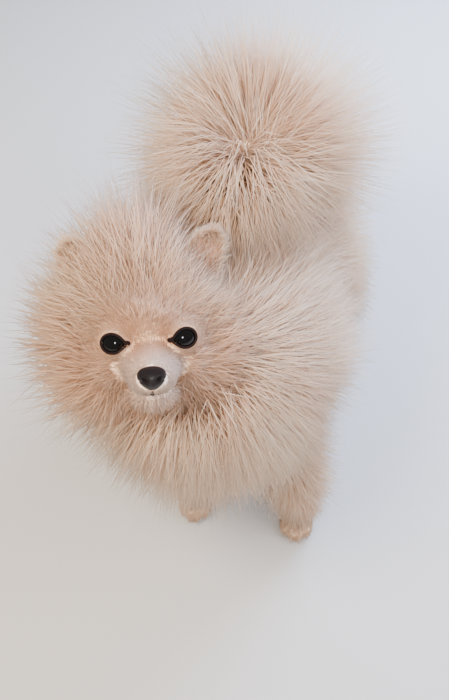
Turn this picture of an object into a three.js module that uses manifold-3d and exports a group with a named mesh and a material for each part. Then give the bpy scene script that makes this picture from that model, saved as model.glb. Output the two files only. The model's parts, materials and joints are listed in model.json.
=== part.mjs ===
// A pomeranian puppy, life size, standing square on a floor with its head raised to look up.
// Sizes are in millimetres. +X is the dog's left, +Y its tail end and +Z up. It is built in a
// working frame whose origin is on the floor under the middle of the body, and is set over the
// middle of its own box at the end.
import * as THREE from "three";
import { mergeVertices } from "three/addons/utils/BufferGeometryUtils.js";
import Module from "manifold-3d";

const wasm = await Module();
wasm.setup();

// Driving dimensions.
const CORE_SHARE = 0.5; // how far the solid core reaches towards the tips of the coat
const GAP = 0.3; // between nodes that touch
const FINENESS = 0.03; // how far a surface may move when slivers are merged away
const SINK = 5; // how deep a lock's root goes into what it grows from
const WITHERS = 172; // height of the back over the shoulders, at the skin
const CHEST_WIDTH = 76;
const CHEST_DEPTH = 86;
const PAW_WIDTH = 23;
const PAW_LENGTH = 31;
const PAW_HEIGHT = 15;
const EYE_SPACING = 38;
const EYE_RADIUS = 8.2;
const EYE_OPENING = [6.5, 5.6]; // half width and half height between the lids
const LID_THICKNESS = 1.2;
const NOSE_WIDTH = 15.4;
const NOSE_HEIGHT = 10.6;
const NOSE_DEPTH = 9;
const EAR_WIDTH = 22;
const EAR_HEIGHT = 36;
const EAR_DEPTH = 12;
const EYES_AT = [-35.5, -80.7, 212]; // midway between the fronts of the eyes
const EYES_LOCAL = [0, -33.7, -1]; // the same place in the head's own frame
const HEAD_YAW = 19; // degrees to the dog's left
const HEAD_PITCH = 40; // degrees up from level
const HEAD_ROLL = 6; // degrees, left side down
const FOREPAWS = { left: [44, -78], right: [-30, -72] };
const HINDPAWS = { left: [40, 74], right: [-40, 80] };

const vec = (x, y, z) => new THREE.Vector3(x, y, z);
const toRadians = THREE.MathUtils.degToRad;
const lerp = THREE.MathUtils.lerp;

// A seeded random number from 0 to 1, so that every build gives the same coat.
function seeded(seed) {
  let state = seed;
  return () => {
    state = (state * 1664525 + 1013904223) % 4294967296;
    return state / 4294967296;
  };
}

// Closed geometry to a solid, and a solid back to geometry.
function solidOf(geometry) {
  const bare = geometry.clone();
  bare.deleteAttribute("normal");
  bare.deleteAttribute("uv");
  const merged = mergeVertices(bare, 1e-4);
  const mesh = new wasm.Mesh({
    numProp: 3,
    vertProperties: merged.attributes.position.array,
    triVerts: new Uint32Array(merged.index.array),
  });
  return new wasm.Manifold(mesh);
}

function geometryOf(solid) {
  const mesh = solid.getMesh();
  const points = new Float32Array(mesh.numVert * 3);
  for (let i = 0; i < mesh.numVert; i++) {
    points.set(mesh.vertProperties.subarray(i * mesh.numProp, i * mesh.numProp + 3), i * 3);
  }
  return new THREE.BufferGeometry()
    .setAttribute("position", new THREE.BufferAttribute(points, 3))
    .setIndex(new THREE.BufferAttribute(mesh.triVerts, 1));
}

const union = (solids) => wasm.Manifold.union(solids);

// The closed surface that holds the most, without loose bits or voids inside.
function largestBody(solid) {
  const mesh = solid.simplify(FINENESS).getMesh();
  const parent = Array.from({ length: mesh.numVert }, (_, i) => i);
  const rootOf = (i) => {
    let at = i;
    while (parent[at] !== at) {
      parent[at] = parent[parent[at]];
      at = parent[at];
    }
    return at;
  };
  for (let i = 0; i < mesh.mergeFromVert.length; i++) {
    parent[rootOf(mesh.mergeFromVert[i])] = rootOf(mesh.mergeToVert[i]);
  }
  const triangles = mesh.triVerts;
  for (let i = 0; i < triangles.length; i += 3) {
    parent[rootOf(triangles[i])] = rootOf(triangles[i + 1]);
    parent[rootOf(triangles[i + 1])] = rootOf(triangles[i + 2]);
  }
  const corner = (i) => new THREE.Vector3().fromArray(mesh.vertProperties, triangles[i] * mesh.numProp);
  const held = new Map();
  for (let i = 0; i < triangles.length; i += 3) {
    const root = rootOf(triangles[i]);
    const volume = corner(i).dot(corner(i + 1).cross(corner(i + 2))) / 6;
    held.set(root, (held.get(root) ?? 0) + volume);
  }
  const best = [...held.keys()].reduce((most, root) => (held.get(root) > held.get(most) ? root : most));
  const kept = triangles.filter((vertex) => rootOf(vertex) === best);
  const { numProp, vertProperties, mergeFromVert, mergeToVert } = mesh;
  const shell = { numProp, vertProperties, triVerts: kept, mergeFromVert, mergeToVert };
  return new wasm.Manifold(new wasm.Mesh(shell));
}

// An ellipsoid with its radii along its own axes, turned by degrees about x, y and z.
function ellipsoid(centre, radii, turn = [0, 0, 0], segments = [18, 12]) {
  const geometry = new THREE.SphereGeometry(1, segments[0], segments[1]);
  geometry.scale(...radii);
  const euler = new THREE.Euler(...turn.map(toRadians));
  geometry.applyQuaternion(new THREE.Quaternion().setFromEuler(euler));
  return geometry.translate(...centre);
}

// A body lofted through oval stations, each { at, half: [side, height] }, along a smooth curve.
class Loft {
  constructor(stations, side = vec(1, 0, 0)) {
    this.stations = stations;
    this.side = side;
    this.curve = new THREE.CatmullRomCurve3(stations.map((s) => vec(...s.at)), false, "centripetal");
  }

  half(t) {
    const place = t * (this.stations.length - 1);
    const i = Math.min(Math.floor(place), this.stations.length - 2);
    const [a, b] = [this.stations[i].half, this.stations[i + 1].half];
    return [lerp(a[0], b[0], place - i), lerp(a[1], b[1], place - i)];
  }

  frame(t) {
    const along = this.curve.getTangent(t);
    const side = this.side.clone().addScaledVector(along, -this.side.dot(along)).normalize();
    return { centre: this.curve.getPoint(t), along, side, up: side.clone().cross(along).negate() };
  }

  // The point at share t of the length and angle round, 0 at the side and 90 degrees at the top.
  point(t, round, grow = 0) {
    const { centre, side, up } = this.frame(t);
    const [a, b] = this.half(t);
    return centre
      .addScaledVector(side, Math.cos(round) * (a + grow))
      .addScaledVector(up, Math.sin(round) * (b + grow));
  }

  // Where a lock grows: the point, the way out, and the way the coat lies along the body.
  surface(t, round) {
    const step = 0.01;
    const point = this.point(t, round);
    const along = this.point(Math.min(t + step, 1), round).sub(this.point(Math.max(t - step, 0), round));
    const across = this.point(t, round + step).sub(this.point(t, round - step));
    const out = across.cross(along).normalize();
    const away = point.clone().sub(this.curve.getPoint(t));
    if (out.dot(away) < 0) {
      out.negate();
    }
    return { point, out, along: along.normalize() };
  }

  geometry(sides, rings, grow = 0) {
    const geometry = new THREE.CylinderGeometry(1, 1, 1, sides, rings);
    const position = geometry.attributes.position;
    for (let i = 0; i < position.count; i++) {
      const [x, y, z] = [position.getX(i), position.getY(i), position.getZ(i)];
      const t = 0.5 - y;
      const { centre, along, side, up } = this.frame(t);
      const [a, b] = this.half(t);
      const end = t < 1e-6 ? -grow : t > 1 - 1e-6 ? grow : 0;
      centre
        .addScaledVector(side, x * (a + grow))
        .addScaledVector(up, z * (b + grow))
        .addScaledVector(along, end);
      position.setXYZ(i, centre.x, centre.y, centre.z);
    }
    return geometry;
  }
}

// The coat reaches coat millimetres past the skin, and the core takes its share of that.
function furred(stations, share = CORE_SHARE) {
  return stations.map(({ at, skin, coat }) => ({ at, half: skin.map((r) => r + coat * share) }));
}

// The head's own frame has the muzzle along -Y, the left ear at +X and the crown at +Z.
const headTurn = new THREE.Quaternion()
  .setFromAxisAngle(vec(0, 0, 1), toRadians(HEAD_YAW))
  .multiply(new THREE.Quaternion().setFromAxisAngle(vec(1, 0, 0), -toRadians(HEAD_PITCH)))
  .multiply(new THREE.Quaternion().setFromAxisAngle(vec(0, 1, 0), toRadians(HEAD_ROLL)));
const headMiddle = vec(...EYES_AT).sub(vec(...EYES_LOCAL).applyQuaternion(headTurn));
const headMatrix = new THREE.Matrix4().compose(headMiddle, headTurn, vec(1, 1, 1));

// The planes that part the nodes. Each is given by a point on it and its normal.
const parting = (point, normal) => new THREE.Plane().setFromNormalAndCoplanarPoint(normal.normalize(), point);
const ruffToTorso = parting(vec(-4, -24, 140), vec(0.3, 0.85, -0.42));
const torsoToTail = parting(vec(0, 100, 167), vec(0, 0.447, 0.894));
const flipped = (plane) => plane.clone().negate();

// What is left of a solid behind a plane, on the side that its normal points away from.
function cutBy(solid, plane) {
  const reach = 600;
  const slab = new THREE.BoxGeometry(reach, reach, reach);
  const centre = plane.coplanarPoint(vec(0, 0, 0)).addScaledVector(plane.normal, reach / 2 - GAP / 2);
  slab.applyQuaternion(new THREE.Quaternion().setFromUnitVectors(vec(0, 0, 1), plane.normal));
  slab.translate(centre.x, centre.y, centre.z);
  return solid.subtract(solidOf(slab));
}

// Bends a point that nears a plane along it, so that it never quite gets there.
function bendClear(point, limits) {
  const near = 6;
  const closest = GAP / 2 + 0.1;
  for (const plane of limits) {
    const past = plane.distanceToPoint(point) + near;
    if (past > 0) {
      const room = near - closest;
      point.addScaledVector(plane.normal, room * (1 - Math.exp(-past / room)) - past);
    }
  }
  return point;
}

// A lock is a flat tapered blade that leans out from its seat and bends over along the lie of the coat.
const LOCK_WIDTH = [0.62, 1, 0.7, 0]; // share of the full width, from the root to the tip
const LOCK_THICKNESS = [0.8, 1, 0.6, 0];

function lockGeometry(seat, form, limits, grow = 0) {
  const { point, out, lie } = seat;
  const side = out.clone().cross(lie).applyAxisAngle(out, seat.twist).normalize();
  const towards = (degrees) => {
    const angle = toRadians(degrees);
    return out.clone().multiplyScalar(Math.sin(angle)).addScaledVector(lie, Math.cos(angle));
  };
  const wider = grow * 2; // a three-sided section gains half of this on its faces
  const length = form.length * seat.scale + wider;
  const root = point.clone().addScaledVector(out, -SINK);
  const bend = point.clone().addScaledVector(towards(form.lift + seat.tilt), length * 0.55);
  const tip = bend.clone().addScaledVector(towards(form.lift + seat.tilt - form.curl), length * 0.5);
  const curve = new THREE.QuadraticBezierCurve3(root, bend, tip);
  const geometry = new THREE.ConeGeometry(1, 1, 3, 3);
  const position = geometry.attributes.position;
  for (let i = 0; i < position.count; i++) {
    const s = position.getY(i) + 0.5;
    const ring = Math.round(s * 3);
    const taper = ring < 3 ? 1 / (1 - s) : 0;
    const across = position.getX(i) * taper * LOCK_WIDTH[ring] * (form.width / 2 + wider);
    const through = position.getZ(i) * taper * LOCK_THICKNESS[ring] * (form.thick / 2 + wider);
    const along = curve.getTangent(s);
    const face = side.clone().cross(along).normalize();
    const place = curve.getPoint(s).addScaledVector(side, across).addScaledVector(face, through);
    bendClear(place, limits);
    position.setXYZ(i, place.x, place.y, place.z);
  }
  return geometry;
}

// A seat says where a lock grows and which way the coat lies there, with small differences from lock to lock.
function seatAt(surface, flow, random) {
  const { point, out } = surface;
  const lie = flow.clone().addScaledVector(out, -flow.dot(out)).normalize();
  return {
    point,
    out,
    lie,
    twist: toRadians(lerp(-14, 14, random())),
    tilt: lerp(-6, 6, random()),
    scale: lerp(0.88, 1.1, random()),
  };
}

const insideAll = (point, limits, margin) => limits.every((plane) => plane.distanceToPoint(point) < -margin);

// Rows of seats round a loft. Every second row is set half a place on, as the coat grows.
function seatsOnLoft(loft, rows, flowAt, random, keep) {
  const seats = [];
  rows.forEach(({ t, count }, row) => {
    for (let i = 0; i < count; i++) {
      const round = ((i + (row % 2) / 2 + 0.25 * random()) / count) * 2 * Math.PI;
      const surface = loft.surface(t, round);
      if (keep(surface)) {
        seats.push(seatAt(surface, flowAt(surface), random));
      }
    }
  });
  return seats;
}

// Rows of seats on an ellipsoid, by degrees from the end of its axis (a unit vector) and round it.
function seatsOnEllipsoid(centre, radii, turn, axis, rows, flowAt, random, keep) {
  const seats = [];
  const toAxis = new THREE.Quaternion().setFromUnitVectors(vec(0, 0, 1), axis);
  const turned = new THREE.Quaternion().setFromEuler(new THREE.Euler(...turn.map(toRadians)));
  rows.forEach(({ degrees, count }, row) => {
    for (let i = 0; i < count; i++) {
      const round = ((i + (row % 2) / 2 + 0.2 * random()) / count) * 2 * Math.PI;
      const unit = new THREE.Vector3().setFromSphericalCoords(1, toRadians(degrees), round);
      unit.set(unit.x, unit.z, unit.y).applyQuaternion(toAxis);
      const point = unit.clone().multiply(vec(...radii)).applyQuaternion(turned).add(vec(...centre));
      const out = unit.clone().divide(vec(...radii)).normalize().applyQuaternion(turned);
      const surface = { point, out, round };
      if (keep(surface)) {
        seats.push(seatAt(surface, flowAt(surface), random));
      }
    }
  });
  return seats;
}

const locksOn = (seats, form, limits, grow = 0) =>
  seats.map((seat) => solidOf(lockGeometry(seat, form, limits, grow)));

const floorLimit = new THREE.Plane(vec(0, 0, -1), 3);
const floorSlab = solidOf(new THREE.BoxGeometry(600, 600, 100).translate(0, 0, -50));

// Torso: the barrel of chest, back and rump.
const torsoSkin = [
  { at: [-9, -84, 112], skin: [10, 12], coat: 26 },
  { at: [-8, -72, 116], skin: [27, 32], coat: 32 },
  { at: [-6, -48, 124], skin: [36, 42], coat: 34 },
  { at: [-4, -15, WITHERS - CHEST_DEPTH / 2], skin: [CHEST_WIDTH / 2, CHEST_DEPTH / 2], coat: 34 },
  { at: [-1, 25, 131], skin: [36, 38], coat: 37 },
  { at: [0, 60, 131], skin: [35, 36], coat: 41 },
  { at: [0, 84, 130], skin: [29, 31], coat: 40 },
  { at: [0, 100, 128], skin: [10, 12], coat: 32 },
];
const torsoLoft = new Loft(furred(torsoSkin));

// Neck: short and thick under the ruff, bending to the dog's right on its way up to the skull.
const neckSkin = [
  { at: [6, -18, 122], skin: [33, 38], coat: 36 },
  { at: [-2, -38, 124], skin: [33, 37], coat: 40 },
  { at: [-14, -54, 134], skin: [30, 33], coat: 46 },
  { at: [-28, -52, 148], skin: [28, 29], coat: 42 },
  { at: [-42, -42, 166], skin: [25, 26], coat: 32 },
  { at: [-50, -32, 182], skin: [20, 20], coat: 20 },
];
const neckLoft = new Loft(furred(neckSkin));

// Tail: rises from the rump and curls forward over the back.
const tailSkin = [
  { at: [0, 84, 150], skin: [9, 9], coat: 16 },
  { at: [0, 102, 174], skin: [9, 9], coat: 36 },
  { at: [0, 104, 192], skin: [8, 8], coat: 48 },
  { at: [-3, 86, 207], skin: [7, 7], coat: 44 },
  { at: [-8, 58, 210], skin: [6, 6], coat: 36 },
  { at: [-12, 32, 202], skin: [4, 4], coat: 22 },
];
const tailLoft = new Loft(furred(tailSkin));

// The coat lies back and down along the body, and falls forwards and down over the chest.
function bodyFlow({ point }) {
  const chest = THREE.MathUtils.smoothstep(-point.y, 20, 80);
  return vec(point.x * 0.004, lerp(1, -0.25, chest), lerp(-0.4, -1, chest));
}

const TORSO_ROWS = [
  { t: 0.26, count: 13 },
  { t: 0.38, count: 13 },
  { t: 0.5, count: 13 },
  { t: 0.62, count: 13 },
  { t: 0.74, count: 13 },
  { t: 0.85, count: 11 },
  { t: 0.95, count: 8 },
];
const TORSO_LOCK = { length: 44, width: 19, thick: 4.6, lift: 42, curl: 34 };

function torsoSolid() {
  const limits = [flipped(ruffToTorso), torsoToTail];
  const clear = ({ point }) => insideAll(point, limits, 2.5);
  const seats = seatsOnLoft(torsoLoft, TORSO_ROWS, bodyFlow, seeded(11), clear);
  let torso = solidOf(torsoLoft.geometry(18, 8));
  for (const plane of limits) {
    torso = cutBy(torso, plane);
  }
  torso = union([torso, ...locksOn(seats, TORSO_LOCK, limits)]);
  for (const leg of legParts) {
    torso = torso.subtract(legSolid(leg, GAP + 0.1));
  }
  return largestBody(torso);
}

// The ruff stands away from the face and falls over the chest and shoulders.
function ruffFlow({ point }) {
  const front = THREE.MathUtils.smoothstep(-point.y, 20, 90);
  return vec(-0.25, lerp(0.8, -0.35, front), lerp(-0.5, -1, front));
}

const NECK_ROWS = [
  { t: 0.12, count: 11 },
  { t: 0.26, count: 12 },
  { t: 0.41, count: 12 },
  { t: 0.56, count: 11 },
  { t: 0.7, count: 10 },
  { t: 0.84, count: 8 },
];
const NECK_LOCK = { length: 50, width: 20, thick: 4.8, lift: 44, curl: 36 };

function ruffSolid() {
  const limits = [ruffToTorso];
  const clear = ({ point }) => insideAll(point, limits, 4);
  const seats = seatsOnLoft(neckLoft, NECK_ROWS, ruffFlow, seeded(31), clear);
  const neck = cutBy(solidOf(neckLoft.geometry(20, 8)), ruffToTorso);
  const ruff = union([neck, ...locksOn(seats, NECK_LOCK, limits)]);
  return legParts.slice(0, 2).reduce((left, leg) => left.subtract(legSolid(leg, GAP + 0.1)), ruff);
}

// The plume fans out from the tail, and its longest hair stands at the back.
function plumeFlow({ point, along }) {
  const back = THREE.MathUtils.smoothstep(point.y, 60, 120);
  const spread = lerp(0.03, 0.012, back);
  return along.clone().multiplyScalar(0.35).add(vec(point.x * spread, 0.25 + back * 0.6, 0));
}

const TAIL_ROWS = [
  { t: 0.16, count: 9 },
  { t: 0.3, count: 11 },
  { t: 0.44, count: 10 },
  { t: 0.58, count: 10 },
  { t: 0.72, count: 8 },
  { t: 0.86, count: 7 },
  { t: 0.97, count: 4 },
];
const TAIL_LOCK = { length: 68, width: 22, thick: 5, lift: 44, curl: 34 };

function tailSolid() {
  const limits = [flipped(torsoToTail), flipped(ruffToTorso)];
  const clear = ({ point }) => insideAll(point, limits, 4);
  const seats = seatsOnLoft(tailLoft, TAIL_ROWS, plumeFlow, seeded(37), clear);
  for (const seat of seats) {
    seat.tilt += 24 * Math.max(seat.out.y, 0);
  }
  let tail = solidOf(tailLoft.geometry(14, 9));
  for (const plane of limits) {
    tail = cutBy(tail, plane);
  }
  return largestBody(union([tail, ...locksOn(seats, TAIL_LOCK, limits)]));
}

// A leg's bone line from inside the body down to the paw, and its thigh where it has one.
function foreleg(side, [x, y]) {
  const out = side === "left" ? 1 : -1;
  const shoulder = [out * 22 - 5, -52, 112];
  return {
    name: `foreleg_${side}`,
    paw: [x, y],
    loft: new Loft([
      { at: shoulder, half: [12, 17] },
      { at: [lerp(shoulder[0], x, 0.45), -50, 84], half: [13, 17] },
      { at: [lerp(shoulder[0], x, 0.75), y + 18, 52], half: [12, 14] },
      { at: [x, y + 8, 24], half: [11, 12] },
      { at: [x, y + 3, 10], half: [11, 12] },
    ]),
  };
}

const THIGH = { at: [38, 70, 98], radii: [22, 34, 40], turn: [18, 0, 0] };

function hindleg(side, [x, y]) {
  const out = side === "left" ? 1 : -1;
  const [thighX, thighY, thighZ] = THIGH.at;
  return {
    name: `hindleg_${side}`,
    paw: [x, y],
    thigh: [out * thighX, thighY, thighZ],
    loft: new Loft([
      { at: [out * 34, 66, 100], half: [13, 18] },
      { at: [out * 38, 74, 72], half: [13, 18] },
      { at: [out * 39, y + 18, 50], half: [11, 13] },
      { at: [x, y + 13, 26], half: [10, 11] },
      { at: [x, y + 6, 10], half: [11, 12] },
    ]),
  };
}

const legParts = [
  foreleg("left", FOREPAWS.left),
  foreleg("right", FOREPAWS.right),
  hindleg("left", HINDPAWS.left),
  hindleg("right", HINDPAWS.right),
];

// A paw is a pad of fur with four toes, flat on the floor.
function pawSolid([x, y], grow) {
  const pad = [PAW_WIDTH / 2, PAW_LENGTH / 2 - 2, PAW_HEIGHT / 2 + 1].map((r) => r + grow);
  const toes = [-1.5, -0.5, 0.5, 1.5].map((place) => {
    const back = Math.abs(place) > 1 ? 4 : 0;
    const centre = [x + place * 5.4, y - PAW_LENGTH / 2 + 6 + back, 5.4];
    return solidOf(ellipsoid(centre, [3.6, 6.6, 5.6].map((r) => r + grow), [0, 0, -place * 7], [7, 5]));
  });
  return union([solidOf(ellipsoid([x, y + 1, 7], pad, [0, 0, 0], [10, 6])), ...toes]);
}

const THIGH_ROWS = [
  { degrees: 66, count: 7 },
  { degrees: 104, count: 8 },
];
const THIGH_LOCK = { length: 29, width: 15, thick: 4, lift: 27, curl: 22 };
const FEATHER_ROWS = [
  { t: 0.32, count: 7 },
  { t: 0.56, count: 7 },
];
const FEATHER_LOCK = { length: 23, width: 12, thick: 3.6, lift: 24, curl: 20 };

// Short locks lie down the leg, and stand off at its back and on the outside of the thigh.
function legSolid(leg, grow = 0) {
  const side = Math.sign(leg.paw[0]);
  const down = () => vec(side * 0.15, 0.4, -1);
  const pieces = [solidOf(leg.loft.geometry(9, 6, grow)), pawSolid(leg.paw, grow)];
  const atBack = ({ out }) => out.y > 0.2 || out.x * side > 0.75;
  const feathers = seatsOnLoft(leg.loft, FEATHER_ROWS, down, seeded(side + 51), atBack);
  pieces.push(...locksOn(feathers, FEATHER_LOCK, [floorLimit], grow));
  if (leg.thigh) {
    const radii = THIGH.radii;
    const outside = ({ out }) => out.x * side > 0.15;
    pieces.push(solidOf(ellipsoid(leg.thigh, radii.map((r) => r + grow), THIGH.turn, [14, 10])));
    const up = vec(0, 0, 1);
    const random = seeded(side + 71);
    const seats = seatsOnEllipsoid(leg.thigh, radii, THIGH.turn, up, THIGH_ROWS, down, random, outside);
    pieces.push(...locksOn(seats, THIGH_LOCK, [floorLimit], grow));
  }
  return largestBody(union(pieces).subtract(floorSlab));
}

// Head, in its own frame.
const eyeCentre = (out) => [out * (EYE_SPACING / 2 - 0.5), -25.5, -1];
const noseCentre = [0, -52.5, -16];
const earBase = (out) => [out * 31, 8, 28];
const EAR_LEAN = 32; // degrees outwards

const muzzleLoft = new Loft([
  { at: [0, -14, -12], half: [24, 18] },
  { at: [0, -28, -15], half: [18.5, 14] },
  { at: [0, -38, -17.5], half: [14.5, 11.5] },
  { at: [0, -47, -19.5], half: [12.4, 9] },
  { at: [0, -52.5, -20], half: [8.8, 6.4] },
]);
const jawLoft = new Loft([
  { at: [0, -8, -30], half: [18, 11] },
  { at: [0, -26, -30], half: [14, 8] },
  { at: [0, -39, -30], half: [10, 5.6] },
  { at: [0, -47.5, -29], half: [5.8, 3.4] },
]);

function noseGeometry(grow = 0) {
  const half = [NOSE_WIDTH / 2, NOSE_DEPTH / 2 + 1, NOSE_HEIGHT / 2].map((r) => r + grow);
  const geometry = new THREE.SphereGeometry(1, 14, 9);
  const position = geometry.attributes.position;
  for (let i = 0; i < position.count; i++) {
    const z = position.getZ(i);
    position.setX(i, position.getX(i) * (1 + 0.16 * z)); // wider over the nostrils than at the lip
  }
  return geometry.scale(...half).translate(...noseCentre);
}

function noseSolid() {
  let nose = solidOf(noseGeometry());
  for (const out of [-1, 1]) {
    const [x, y, z] = noseCentre;
    const place = [x + out * 3.7, y - 4.5, z - 0.2];
    const nostril = ellipsoid(place, [1.5, 2.6, 1.9], [0, out * 25, out * 30], [8, 5]);
    nose = nose.subtract(solidOf(nostril));
  }
  return largestBody(nose);
}

// The ear is a rounded cup that opens forwards.
function earGeometry(out, grow, hollow) {
  const half = [EAR_WIDTH / 2, EAR_DEPTH / 2, EAR_HEIGHT / 2].map((r) => r + grow - (hollow ? 2.4 : 0));
  const geometry = new THREE.SphereGeometry(1, 12, 9);
  const position = geometry.attributes.position;
  for (let i = 0; i < position.count; i++) {
    const z = position.getZ(i);
    position.setX(i, position.getX(i) * (1 - 0.22 * z)); // narrower towards the tip
  }
  geometry.scale(...half);
  geometry.translate(0, hollow ? -4.5 : 0, EAR_HEIGHT / 2 - 3 + (hollow ? 1 : 0));
  geometry.rotateZ(toRadians(out * 18));
  geometry.rotateY(toRadians(out * EAR_LEAN));
  return geometry.translate(...earBase(out));
}

function earSolid(out, headCore) {
  const ear = solidOf(earGeometry(out, 0, false)).subtract(solidOf(earGeometry(out, 0, true)));
  return largestBody(ear.subtract(headCore));
}

// The opening between the lids, a rounded almond seen from the front and drawn out along the eye's axis.
function lidOpening(out) {
  const [w, h] = EYE_OPENING;
  const shape = new THREE.Shape();
  shape.moveTo(-out * (w + 1.6), -1.2);
  shape.bezierCurveTo(-out * (w - 1), h * 1.15, out * (w - 0.5), h * 1.35, out * w, 0.2);
  shape.bezierCurveTo(out * (w - 0.5), -h * 1.35, -out * (w - 2.5), -h * 1.3, -out * (w + 1.6), -1.2);
  const geometry = new THREE.ExtrudeGeometry(shape, { depth: 20, bevelEnabled: false, curveSegments: 6 });
  const [x, y, z] = eyeCentre(out);
  return geometry.rotateX(toRadians(90)).rotateZ(toRadians(out * 14)).translate(x, y - 2, z);
}

const CROWN = { at: [0, 16, 0], radii: [47, 32, 44] }; // the core of the coat round the skull

function headCoreSolid(grow = 0) {
  const form = (centre, radii, segments) =>
    solidOf(ellipsoid(centre, radii.map((r) => r + grow), [0, 0, 0], segments));
  const pieces = [
    form([0, 4, 2], [36, 36, 32], [14, 8]),
    form(CROWN.at, CROWN.radii, [18, 10]),
    form([0, -6, -6], [38, 27, 27], [18, 10]),
    form([0, -14, 8], [20, 18, 15], [12, 7]),
  ];
  for (const out of [-1, 1]) {
    pieces.push(form([out * 19, -9, -17], [20, 22, 18], [12, 7]));
  }
  return union(pieces);
}

// The coat lies away from the face, all the way round the head.
const awayFromFace = ({ point }) => point.clone().sub(vec(0, -64, -12));

const ruffLocal = ruffToTorso.clone().applyMatrix4(headMatrix.clone().invert());

const FACE_ROWS = [{ degrees: 60, count: 12 }];
const FACE_LOCK = { length: 21, width: 12, thick: 3.4, lift: 26, curl: 20 };
const HEAD_ROWS = [
  { degrees: 80, count: 14 },
  { degrees: 105, count: 11 },
  { degrees: 128, count: 6 },
];
const HEAD_LOCK = { length: 38, width: 16, thick: 4.2, lift: 44, curl: 34 };

function headLocks() {
  const limits = [ruffLocal];
  const clear = ({ point }) => point.y < CROWN.at[1] + 26;
  const face = vec(0, -1, 0);
  const { at, radii } = CROWN;
  const short = seatsOnEllipsoid(at, radii, [0, 0, 0], face, FACE_ROWS, awayFromFace, seeded(5), clear);
  const long = seatsOnEllipsoid(at, radii, [0, 0, 0], face, HEAD_ROWS, awayFromFace, seeded(7), clear);
  let locks = union([...locksOn(short, FACE_LOCK, limits), ...locksOn(long, HEAD_LOCK, limits)]);
  for (const out of [-1, 1]) {
    locks = locks.subtract(solidOf(earGeometry(out, GAP, false)));
  }
  return locks;
}

function mouthGroove(radius) {
  const half = [[16.5, -31, -26], [14, -41, -26.3], [8.4, -48.8, -26]];
  const ends = half.map(([x, y, z]) => vec(x, y, z));
  const mirrored = half.map(([x, y, z]) => vec(-x, y, z)).reverse();
  const line = new THREE.CatmullRomCurve3([...ends, vec(0, -52.8, -24.8), ...mirrored]);
  const ring = new THREE.Shape().absarc(0, 0, radius, 0, 2 * Math.PI);
  const settings = { steps: 12, curveSegments: 3, extrudePath: line, bevelEnabled: false };
  return new THREE.ExtrudeGeometry(ring, settings);
}

function headSolid() {
  const pieces = [headCoreSolid(), solidOf(muzzleLoft.geometry(14, 5)), solidOf(jawLoft.geometry(10, 4))];
  const lidRadius = EYE_RADIUS + GAP + LID_THICKNESS;
  for (const out of [-1, 1]) {
    pieces.push(solidOf(ellipsoid(eyeCentre(out), Array(3).fill(lidRadius), [0, 0, 0], [14, 9])));
  }
  let ruff = ruffSolid().transform(headMatrix.clone().invert().elements);
  for (const out of [-1, 1]) {
    ruff = ruff.subtract(solidOf(earGeometry(out, GAP, false)));
  }
  let head = cutBy(union([...pieces, headLocks()]), ruffLocal).add(ruff);
  for (const out of [-1, 1]) {
    const socket = ellipsoid(eyeCentre(out), Array(3).fill(EYE_RADIUS + GAP), [0, 0, 0], [14, 10]);
    head = head.subtract(solidOf(socket)).subtract(solidOf(lidOpening(out)));
  }
  return largestBody(head.subtract(solidOf(mouthGroove(0.9))).subtract(solidOf(noseGeometry(GAP))));
}

const finishes = {
  coat: { color: 0xe9d5bd, roughness: 0.9, metalness: 0 },
  ear: { color: 0xe6c3ab, roughness: 0.9, metalness: 0 },
  eye: { color: 0x0d0a09, roughness: 0.08, metalness: 0 },
  nose: { color: 0x2a1c1c, roughness: 0.45, metalness: 0 },
};

function meshOf(name, solid, finish) {
  const material = new THREE.MeshStandardMaterial(finishes[finish]);
  const mesh = new THREE.Mesh(geometryOf(solid), material);
  mesh.name = name;
  return mesh;
}

const head = new THREE.Group();
head.applyMatrix4(headMatrix);
head.add(meshOf("head", headSolid(), "coat"));
head.add(meshOf("nose", noseSolid(), "nose"));
for (const [side, out] of [["left", 1], ["right", -1]]) {
  head.add(meshOf(`ear_${side}`, earSolid(out, headCoreSolid(GAP)), "ear"));
  const eye = ellipsoid(eyeCentre(out), Array(3).fill(EYE_RADIUS), [0, 0, 0], [14, 10]);
  head.add(meshOf(`eye_${side}`, solidOf(eye), "eye"));
}

const dog = new THREE.Group();
dog.add(head);
dog.add(meshOf("torso", torsoSolid(), "coat"));
dog.add(meshOf("tail", tailSolid(), "coat"));
for (const leg of legParts) {
  dog.add(meshOf(leg.name, legSolid(leg), "coat"));
}

// The origin goes on the floor under the middle of the whole dog's box.
dog.updateMatrixWorld(true);
const box = new THREE.Box3().setFromObject(dog, true);
const middle = box.getCenter(vec(0, 0, 0));
dog.position.set(-middle.x, -middle.y, 0);
console.log("working frame moved by", dog.position.toArray().map((v) => v.toFixed(2)).join(" "));

export default dog;
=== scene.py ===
"""A pomeranian puppy with its coat, as a still model. Sizes are in millimetres until a mesh is made.

+X is the dog's left, +Y its tail end and +Z up. The working frame stands on the floor under the middle of
the body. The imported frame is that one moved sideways, by an amount read from where the left eye is.
"""
import json
import math

import bmesh
import bpy
import numpy as np
from bpy.props import FloatProperty, FloatVectorProperty, IntProperty, PointerProperty
from bpy.types import Operator, Panel, PropertyGroup
from mathutils import Euler, Matrix, Vector
from mathutils.bvhtree import BVHTree

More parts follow.
